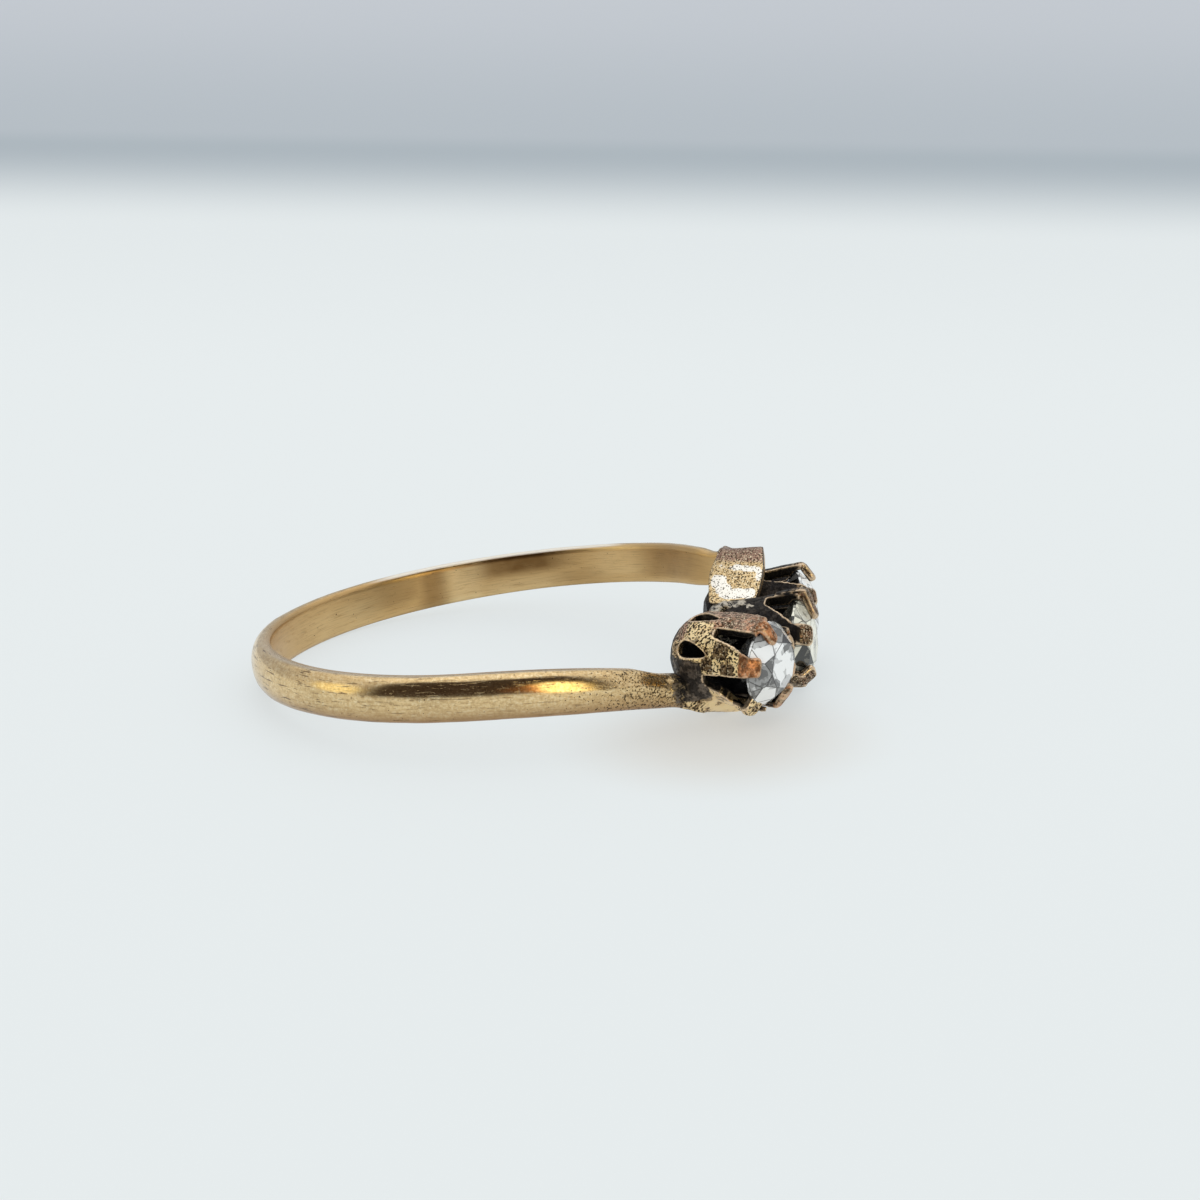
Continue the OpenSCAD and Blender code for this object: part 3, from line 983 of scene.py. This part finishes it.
def claw_tip(bm, collet, finger_r, turn, lift, lean, shaft_width, tip_width, length, slope):
    """The end of one claw, from its shaft up to the bend and over the stone."""
    low = finger_r + collet.bend_h / MM
    bend = low + lift
    s = math.radians(slope)
    start_r, start_z = 1.70 + lean, bend + 0.14

    def over_stone(share, rise, way, thick, width):
        r = start_r - share * length * math.cos(s)
        return (r, start_z + rise * length * math.sin(s), way - slope, thick, width * tip_width)

    # Radius, height, way the thickness faces (degrees above outwards), thickness, width
    stations = [
        (1.62 + 0.9 * lean, low - 1.00, 4, 0.26, shaft_width),
        (1.70 + lean, low - 0.55, 5, 0.29, shaft_width),
        (1.75 + lean, bend - 0.12, 12, 0.30, shaft_width),
        (1.765 + lean, bend + 0.03, 34, 0.30, 0.5 * (shaft_width + tip_width)),
        over_stone(0.00, 0.00, 90, 0.31, 1.00),
        over_stone(0.50, 0.50, 90, 0.32, 1.00),
        over_stone(0.85, 0.85, 92, 0.33, 0.96),
        over_stone(1.05, 1.02, 96, 0.28, 0.74),
        over_stone(1.14, 1.07, 98, 0.16, 0.40),
    ]
    loops = []
    segments, least_r = 20, 0.9
    for r, z, way, thick, width in spline(stations, 3):
        way = math.radians(way)
        loop = []
        for k in range(segments):
            a = math.tau * k / segments
            side = squared(math.cos(a)) * width / 2
            deep = squared(math.sin(a)) * thick / 2
            reach = r + deep * math.cos(way)
            angle = math.radians(turn) + side / max(r, least_r)
            loop.append(Vector((reach * math.cos(angle), reach * math.sin(angle), z + deep * math.sin(way))))
        loops.append(loop)
    sweep(bm, loops)


# Where the band's near end runs into the near collet, in the ring's own frame in mm, and the solder there
JOINT = Vector((8.75, -4.00, -0.95))
CORNER = [
    ((8.62, -4.02, -0.88), 0.42),
    ((8.95, -4.06, -1.00), 0.46),
    ((9.25, -3.98, -1.16), 0.44),
    ((9.50, -3.80, -1.36), 0.38),
]

# How far round the joint the metal is worn soft in mm, and how many rounds of softening it gets
CORNER_REACH = 1.0
CORNER_ROUNDS = 24

# Where along x the strip of the band that is part of the near collet's piece starts
STRIP_START = 7.9


def shoulder_strip(bm, band, back):
    """The last part of the band's near end, sunk into the band at its start, in the collet's frame."""
    def grow(at):
        sunk, raised = -0.06, 0.015
        return sunk + (raised - sunk) * smooth(at.x, STRIP_START, STRIP_START + 0.7)

    near_side = [loop for loop in band_loops(band, grow) if loop[0].y < -0.3]
    loops = [loop for loop in near_side if sum(p.x for p in loop) / len(loop) > STRIP_START]
    sweep(bm, [[back @ p for p in loop] for loop in loops])


def corner_solder(bm, back):
    for centre, radius in CORNER:
        verts = bmesh.ops.create_icosphere(bm, subdivisions=3, radius=radius)["verts"]
        bmesh.ops.translate(bm, verts=verts, vec=back @ Vector(centre))


# Brown patches of the near collet: middle, reach and soft edge of the height in mm, the same of the turn in
# degrees, and strength
BROWN_PATCHES = [
    ((2.58, 0.38, 0.12), (67, 11, 4), 1.0),
    ((2.95, 0.34, 0.10), (87, 9, 4), 1.0),
    ((2.05, 0.32, 0.12), (84, 12, 5), 0.8),
]


def near_marks(turn, height, z, bend, place, soot, coppery):
    """Soot and painted shade, rose, copper and brown of a point of the near collet, which shows most."""
    corner = (place - JOINT).length
    above = smooth(place.z, -1.75, -1.30)
    foot = smooth(turn, 74, 92) * smooth(2.02 - height, 0, 0.35) * smooth(210 - turn, 0, 30)
    foot = foot * smooth(2.05 - corner, 0, 0.9)
    soot = max(soot, foot * above, smooth(1.55 - corner, 0, 1.1) * above)
    top_claw = smooth(50 - turn, 0, 6) * smooth(turn, -40, -28)
    rosy = max(
        top_claw * smooth(height, 1.6, 2.2),
        smooth(32 - turn, 0, 12) * smooth(turn, -40, -28),
        0.85 * smooth(1.0 - height, 0, 0.3) * smooth(66 - turn, 0, 15),
    )
    if 60 < turn < 105:
        coppery = smooth(z, bend - 0.46, bend - 0.34)
    else:
        coppery = max(coppery, 0.40 * top_claw * smooth(height, 2.3, 3.4))
    if 136 < turn < 182:
        coppery = 0.0
    elif turn > 120 or turn < -20:
        coppery *= 0.5
    browned = max(share * spot(height, *tall) * spot(turn, *wide) for tall, wide, share in BROWN_PATCHES)
    if -178 <= turn < -20:
        browned = 0.9 * smooth(height, 2.6, 3.2)
    return soot, rosy, coppery, browned


def other_marks(seat, turn, height, z, bend, soot, coppery):
    """Soot and painted shade, darker up to near the bend, rose, copper and brown of a point of the middle or
    the far collet.
    """
    # Darker up to near the bend, and on the middle collet's near side up to the top
    soot = max(soot, smooth(2.75 - height, 0, 0.5), 0.72 * smooth(3.75 - height, 0, 0.4))
    if seat == "middle" and 40 < turn < 100:
        soot = max(soot, smooth(4.12 - height, 0, 0.15))
    top_claw = seat == "middle" and abs(turn - CLAWS["middle"][0][0]) < 30
    return soot, smooth(z, bend - 0.5, bend) * 0.45, 0.30 * coppery if top_claw else 0.0, 0.75


def collet_marks(seat, finger_r, bend, at, normal, place):
    """Tarnish, wear and painted shade of a point of a collet, from its places in the collet's frame and in
    the ring's.
    """
    r = math.hypot(at.x, at.y)
    turn = math.degrees(math.atan2(at.y, at.x))
    height = at.z - finger_r
    out_x, out_y = at.x / max(r, 0.01), at.y / max(r, 0.01)
    inward = -(normal.x * out_x + normal.y * out_y)
    across = abs(normal.y * out_x - normal.x * out_y)
    in_cup = smooth(2.15 - r, 0, 0.2)
    below = smooth(bend + 0.12 - at.z, 0, 0.3)
    # Painted shade: black on the faces inside the cup, on the ledge under the seat, and on the side faces of
    # claws and gaps
    inner = smooth(inward, 0.10, 0.5) * below * in_cup
    inner = max(inner, smooth(1.22 - r, 0, 0.15) * smooth(bend - at.z, 0, 0.5))
    ledge = smooth(1.50 - r, 0, 0.10) * smooth(height, 1.45, 1.55) * smooth(bend - 0.25 - at.z, 0, 0.1)
    inner = max(inner, ledge)
    side = smooth(across, 0.55, 0.85) * below * smooth(height, 0.5, 0.7) * in_cup
    soot = max(inner, 0.85 * side)
    coppery = smooth(at.z, bend - 0.25, bend - 0.02)
    clean = 0.0
    if seat == "near":
        soot, rosy, coppery, browned = near_marks(turn, height, at.z, bend, place, soot, coppery)
        clean = smooth(place.x, 8.95, 9.35) * smooth(-place.z, 1.05, 1.35)
        clean = clean * smooth(turn % 360, 106, 112) * smooth(3.1 - height, 0, 0.3)
    else:
        soot, rosy, coppery, browned = other_marks(seat, turn, height, at.z, bend, soot, coppery)
    return {
        "soot": soot,
        "rosy": rosy,
        "coppery": coppery,
        "browned": browned,
        "open": 1.0 - max(inner, side * 0.6),
        "clean": clean,
        "crusty": 1.0 if seat == "near" else 0.2,
    }


class RING_OT_collets(bpy.types.Operator):
    """Three pierced collets with their claws"""

    bl_idname = "ring.collets"
    bl_label = "Collets"

    def execute(self, context):
        collet = context.scene.ring_collet
        finger_r = finger_radius(context)
        material = collet_gold(context.scene.ring_finish)
        bend = finger_r + collet.bend_h / MM
        for number, (seat, claws) in enumerate(CLAWS.items()):
            place = seat_matrix(seat, finger_r)
            bm = cup(collet, finger_r)
            for cutter in openings(collet, finger_r, claws, GAPS[seat]):
                bm = cut_with(bm, cutter)
            for values in claws:
                claw_tip(bm, collet, finger_r, *values)
            if seat == "near":
                back = place.inverted()
                shoulder_strip(bm, context.scene.ring_band, back)
                corner_solder(bm, back)
            bmesh.ops.recalc_face_normals(bm, faces=bm.faces)
            bm = skin_over(bm, VOXEL, 2)
            if seat == "near":
                corner = [v for v in bm.verts if (place @ v.co - JOINT).length < CORNER_REACH]
                soften(bm, corner, CORNER_ROUNDS)
            roughen(bm, BROAD_BUMPS, number)
            smooth_skin = bpy.data.meshes.new("skin")
            bm.to_mesh(smooth_skin)
            wear = edge_wear(smooth_skin, 2)
            bpy.data.meshes.remove(smooth_skin)
            roughen(bm, FINE_BUMPS, number)
            bm.normal_update()
            local = [(v.co.copy(), v.normal.copy()) for v in bm.verts]
            bmesh.ops.transform(bm, matrix=place, verts=bm.verts)
            clear_of_finger(bm, finger_r)
            mesh = mesh_of(bm)
            marks = [collet_marks(seat, finger_r, bend, *at, v.co) for at, v in zip(local, mesh.vertices)]
            write_marks(mesh, marks)
            write_attribute(mesh, "worn", np.clip(0.5 + wear * 0.10, 0, 1))
            finished(seat + "_collet", mesh, material, ["gold_mount"])
        return {"FINISHED"}


# Stones

# Height of each crown as a share of the near one
CROWNS = {"near": 1.0, "middle": 0.78, "far": 0.82}

# Width of the painted dark line round a facet in mm, and the smallest facet that has one, in square mm
OUTLINE = 0.02
LEAST_OUTLINED = 0.02

# Table as a share of the stone's width, half the girdle in mm, and the step of painted grey from facet to
# facet
TABLE_SHARE = 0.58
GIRDLE_HALF = 0.04
FACET_STEP = 0.618034

# Of each stone: the solid that it stands for, its material slot, and its turn in degrees
STONES = {
    "near": ("near_stone", "stone", 6),
    "middle": ("middle_stone", "warm_stone", 17),
    "far": ("far_stone", "stone", 29),
}


def facet_planes(radius, table_r, crown, pavilion, half):
    """Turn in degrees, slope, radius and height of a point of each facet: kites, stars and small breaks."""
    kite = math.atan2(crown - half, radius - table_r)
    star_r = table_r * math.cos(math.radians(22.5))
    under = -math.atan2(pavilion, radius * 0.9)
    break_r, beside = radius * 0.995, (-12, 12)
    star, upper, lower = kite - math.radians(17), kite + math.radians(7), under - math.radians(5)
    planes = []
    for middle in range(0, 360, 45):
        planes += [(middle, kite, radius, half), (middle + 22.5, star, star_r, crown)]
        planes += [(middle + turn, upper, break_r, half) for turn in beside]
        planes.append((middle, under, radius, -half))
        planes += [(middle + turn, lower, break_r, -half) for turn in beside]
    return planes


def old_cut(stone, finger_r, share):
    """A stone cut facet by facet from a round blank, as an old brilliant."""
    radius, pavilion = stone.diameter / MM / 2, stone.pavilion_h / MM
    crown = share * stone.crown_h / MM
    girdle = finger_r + stone.girdle_h / MM
    bm = bmesh.new()
    blank = {"radius1": radius, "radius2": radius, "depth": crown + pavilion}
    bmesh.ops.create_cone(bm, cap_ends=True, segments=48, **blank)
    bmesh.ops.translate(bm, verts=bm.verts, vec=(0, 0, girdle + (crown - pavilion) / 2))
    for turn, slope, r, z in facet_planes(radius, TABLE_SHARE * radius, crown, pavilion, GIRDLE_HALF):
        a = math.radians(turn)
        flat, up = math.sin(abs(slope)), math.copysign(math.cos(abs(slope)), slope)
        cut = bmesh.ops.bisect_plane(
            bm, geom=bm.verts[:] + bm.edges[:] + bm.faces[:], dist=1e-6, clear_outer=True,
            plane_co=Vector((r * math.cos(a), r * math.sin(a), girdle + z)),
            plane_no=Vector((flat * math.cos(a), flat * math.sin(a), up)),
        )["geom_cut"]
        edges = [e for e in cut if isinstance(e, bmesh.types.BMEdge)]
        if len(edges) > 2:
            bmesh.ops.contextual_create(bm, geom=edges)
    bmesh.ops.recalc_face_normals(bm, faces=bm.faces)
    return bm


class RING_OT_stones(bpy.types.Operator):
    """Three old cut stones"""

    bl_idname = "ring.stones"
    bl_label = "Stones"

    def execute(self, context):
        stone = context.scene.ring_stone
        finger_r = finger_radius(context)
        looks = {
            "stone": cut_stone("clear_stone", CLEAR_TINT),
            "warm_stone": cut_stone("warm_stone", WARM_TINT),
        }
        for seat, (node, slot, turn) in STONES.items():
            bm = old_cut(stone, finger_r, CROWNS[seat])
            if any(not e.is_manifold for e in bm.edges):
                raise RuntimeError(f"{node} is open")
            place = seat_matrix(seat, finger_r)
            turned = Matrix.Rotation(math.radians(turn), 3, "Z")
            bmesh.ops.rotate(bm, verts=bm.verts, cent=(0, 0, 0), matrix=turned)
            bmesh.ops.transform(bm, matrix=place, verts=bm.verts)
            names = ("facet", "outline", "below")
            facet, outline, below = (bm.faces.layers.float.new(name) for name in names)
            axis = place.to_3x3() @ Vector((0, 0, 1))
            for k, face in enumerate(bm.faces):
                face[facet] = (k * FACET_STEP + turn * 0.1) % 1
                # Facets below the girdle get painted shade
                face[below] = 1.0 if face.normal.dot(axis) < -0.1 else 0.0
            wide = [face for face in bm.faces if face.calc_area() > LEAST_OUTLINED]
            inset = bmesh.ops.inset_individual(bm, faces=wide, thickness=OUTLINE, use_even_offset=True)
            for face in inset["faces"]:
                face[outline] = 1.0
            mesh = mesh_of(bm)
            finished("cut_" + node, mesh, looks[slot], [node], shade_smooth=False)
        return {"FINISHED"}


# Solder

# Lumps of solder: place in the ring's own frame in mm, and half sizes
LUMPS = [
    ((9.30, -1.75, 0.15), (0.42, 0.40, 0.72)),
    ((9.55, -1.60, 0.30), (0.60, 0.40, 0.75)),
    ((10.10, -1.55, 0.40), (0.60, 0.38, 0.60)),
    ((10.70, -1.60, 0.45), (0.55, 0.32, 0.50)),
    ((9.20, -0.45, 0.85), (0.40, 0.40, 0.32)),
    ((9.50, -0.35, 0.98), (0.50, 0.40, 0.32)),
    ((10.00, -0.30, 1.00), (0.50, 0.40, 0.30)),
    ((10.50, -0.40, 0.90), (0.45, 0.40, 0.32)),
    ((9.60, 1.60, 0.10), (0.60, 0.40, 0.75)),
    ((10.30, 1.60, 0.20), (0.50, 0.35, 0.50)),
]

# Rounds of bumps on the solder: size and depth in mm, and seed
SOLDER_BUMPS = [(0.45, 0.12, 5.0), (0.20, 0.05, 1.0), (0.09, 0.014, 2.0)]


class RING_OT_solder(bpy.types.Operator):
    """Solder where the band meets the collets and the collets meet each other"""

    bl_idname = "ring.solder"
    bl_label = "Solder"

    def execute(self, context):
        finger_r = finger_radius(context)
        bm = bmesh.new()
        for centre, size in LUMPS:
            verts = bmesh.ops.create_icosphere(bm, subdivisions=3, radius=1)["verts"]
            bmesh.ops.scale(bm, verts=verts, vec=size)
            bmesh.ops.translate(bm, verts=verts, vec=centre)
        bm = skin_over(bm, VOXEL, 6)
        for bumps in SOLDER_BUMPS:
            roughen(bm, bumps)
        clear_of_finger(bm, finger_r)
        mesh = mesh_of(bm)
        write_attribute(mesh, "worn", np.clip(0.5 + edge_wear(mesh, 2) * 0.12, 0, 1))
        finished("solder", mesh, solder_grey(context.scene.ring_finish), ["gold_mount"])
        return {"FINISHED"}


# Stage

# The camera looks at this point of the ring, in mm, from this bearing and elevation, and is rolled a little
AIM = Vector((2.308, 1.312, 2.917))
CAMERA_BEARING = math.radians(-77.644)
CAMERA_ELEVATION = math.radians(17.5)
CAMERA_ROLL = math.radians(-1.498)
FLOOR_EDGE = 103.8

# Warm lamps of the room that show in the band: bearing, elevation and reach in degrees, and colour
GLOWS = [
    (-157, 9, 17, (1.35, 1.28, 0.85)),
    (-64, 12, 9, (0.15, 0.065, 0.03)),
    (-53, 8, 8, (1.0, 0.42, 0.14)),
    (-53, 20, 8, (1.0, 0.42, 0.14)),
    (-40, 6, 16, (2.4, 2.1, 1.2)),
    (-40, 20, 16, (2.4, 2.1, 1.2)),
]

# Colours of the painted warm shadow on the floor beside the ring and of the floor far behind it, and the
# middle of the painted shadow in mm
SHADOW_FLOOR = (0.645, 0.64, 0.61)
FAR_FLOOR = (0.53, 0.555, 0.60)
SHADOW_AT = (8.5, -6.0, 0.0)

# Colours of the room round the ring, and of its soft light on rough surfaces
OPEN_SIDE = (0.80, 0.80, 0.78)
OVERHEAD = (1.15, 1.16, 1.16)
BEHIND = (0.55, 0.57, 0.60)
DARK_ROOM = (0.060, 0.045, 0.038)
SOFT_LIGHT = (1.10, 1.12, 1.13)


def direction(bearing, elevation):
    """The way to a bearing and an elevation, in radians."""
    flat = math.cos(elevation)
    return (math.cos(bearing) * flat, math.sin(bearing) * flat, math.sin(elevation))


def height_at(degrees):
    """Height of a way with this elevation, when its length is 1."""
    return math.sin(math.radians(degrees))


class RING_OT_stage(bpy.types.Operator):
    """Floor, soft light and camera"""

    bl_idname = "ring.stage"
    bl_label = "Stage"

    def execute(self, context):
        look = context.scene.ring_stage
        self.floor(look)
        self.light(context)
        self.camera(context, look)
        context.scene.view_settings.view_transform = "Standard"
        return {"FINISHED"}

    def floor(self, look):
        bm = bmesh.new()
        bmesh.ops.create_grid(bm, x_segments=1, y_segments=1, size=3.0)
        bmesh.ops.translate(bm, verts=bm.verts, vec=(0, 0, -0.00002))
        mesh = mesh_of(bm, "floor")
        s = Surface(bpy.data.materials.new("pale_floor"))
        away = s.node("ShaderNodeSeparateXYZ", {}, s.in_mm(), out="Y")
        near = away.between(40, 92) * 0.10 + away.between(80, FLOOR_EDGE) * 0.9
        colour = s.mix(near, look.floor, look.back)
        # Painted shadow: the floor is warmer and darker round the place under the head
        from_shadow_middle = s.vector("DISTANCE", s.in_mm(), SHADOW_AT, out="Value")
        colour = s.mix(1.0 - from_shadow_middle.between(1, 7), colour, SHADOW_FLOOR)
        beyond = away.between(FLOOR_EDGE, FLOOR_EDGE + 6) * 0.25 + away.between(FLOOR_EDGE, 170) * 0.45
        colour = s.mix(beyond, colour, FAR_FLOOR)
        # Most of the floor glows, a painted light that fills in its shadows
        lit = s.mix(0.28, BLACK, colour)
        glow = s.mix(0.72, BLACK, colour)
        matt = {"Base_Color": lit, "Roughness": 0.7, "Specular_IOR_Level": 0.2}
        shader = s.principled(**matt, Emission_Color=glow, Emission_Strength=1.1)
        mesh.materials.append(s.finish(shader))
        floor = bpy.data.objects.new("floor", mesh)
        bpy.context.scene.collection.objects.link(floor)

    def light(self, context):
        world = bpy.data.worlds.new("soft_room")
        context.scene.world = world
        s = Surface(world)
        way = s.node("ShaderNodeTexCoord", out="Generated")
        height = s.node("ShaderNodeSeparateXYZ", {}, way, out="Z")
        flat = s.vector("NORMALIZE", s.scaled(way, (1, 1, 0)))
        facing = s.vector("DOT_PRODUCT", flat, direction(CAMERA_BEARING, 0), out="Value")
        overhead = height.between(height_at(40), height_at(64))
        behind = facing.between(0.1, -0.6) * (1.0 - height.between(height_at(18), height_at(36)))
        room = facing.between(0.30, 0.56) * (1.0 - height.between(height_at(56), height_at(66)))
        colour = s.mix(overhead, OPEN_SIDE, OVERHEAD)
        colour = s.mix(behind, colour, BEHIND)
        colour = s.mix(room, colour, DARK_ROOM)
        for bearing, rise, reach, tint in GLOWS:
            towards = direction(math.radians(bearing), math.radians(rise))
            close = s.vector("DOT_PRODUCT", way, towards, out="Value")
            edge, middle = (math.cos(math.radians(reach * share)) for share in (1, 0.35))
            colour = s.mix(close.between(edge, middle), colour, tint)
        seen = s.node("ShaderNodeLightPath", out="Is Diffuse Ray")
        colour = s.mix(seen, colour, SOFT_LIGHT)
        s.finish(s.node("ShaderNodeBackground", {}, colour, 1.0), "ShaderNodeOutputWorld")

    def camera(self, context, look):
        forward = -Vector(direction(CAMERA_BEARING, CAMERA_ELEVATION))
        level = forward.cross(Vector((0, 0, 1))).normalized()
        upright = level.cross(forward)
        right = level * math.cos(CAMERA_ROLL) + upright * math.sin(CAMERA_ROLL)
        up = right.cross(forward)
        data = bpy.data.cameras.new("camera")
        data.sensor_width = 36
        data.lens = look.lens
        data.clip_start = 0.001
        data.clip_end = 20
        camera = bpy.data.objects.new("camera", data)
        turn = Matrix((right, up, -forward)).transposed().to_4x4()
        camera.matrix_world = Matrix.Translation(AIM * MM - forward * look.distance) @ turn
        context.scene.collection.objects.link(camera)
        context.scene.camera = camera


class RING_PT_sidebar(bpy.types.Panel):
    """The ring's settings and pieces"""

    bl_idname = "RING_PT_sidebar"
    bl_label = "Three stone ring"
    bl_space_type = "VIEW_3D"
    bl_region_type = "UI"
    bl_category = "Ring"

    def draw(self, context):
        for name, group in SETTINGS.items():
            box = self.layout.box()
            for key in group.__annotations__:
                box.prop(getattr(context.scene, name), key)
        for operator in OPERATORS:
            self.layout.operator(operator.bl_idname)


SETTINGS = {
    "ring_band": BandSettings,
    "ring_collet": ColletSettings,
    "ring_stone": StoneSettings,
    "ring_finish": FinishSettings,
    "ring_stage": StageSettings,
}
OPERATORS = [RING_OT_band, RING_OT_collets, RING_OT_stones, RING_OT_solder, RING_OT_stage]


def register():
    for cls in [*SETTINGS.values(), *OPERATORS, RING_PT_sidebar]:
        bpy.utils.register_class(cls)
    for name, group in SETTINGS.items():
        setattr(bpy.types.Scene, name, PointerProperty(type=group))


def unregister():
    for name in SETTINGS:
        delattr(bpy.types.Scene, name)
    for cls in reversed([*SETTINGS.values(), *OPERATORS, RING_PT_sidebar]):
        bpy.utils.unregister_class(cls)


def main():
    register()
    bpy.ops.ring.band()
    bpy.ops.ring.collets()
    bpy.ops.ring.stones()
    bpy.ops.ring.solder()
    bpy.ops.ring.stage()


if __name__ == "__main__":
    main()
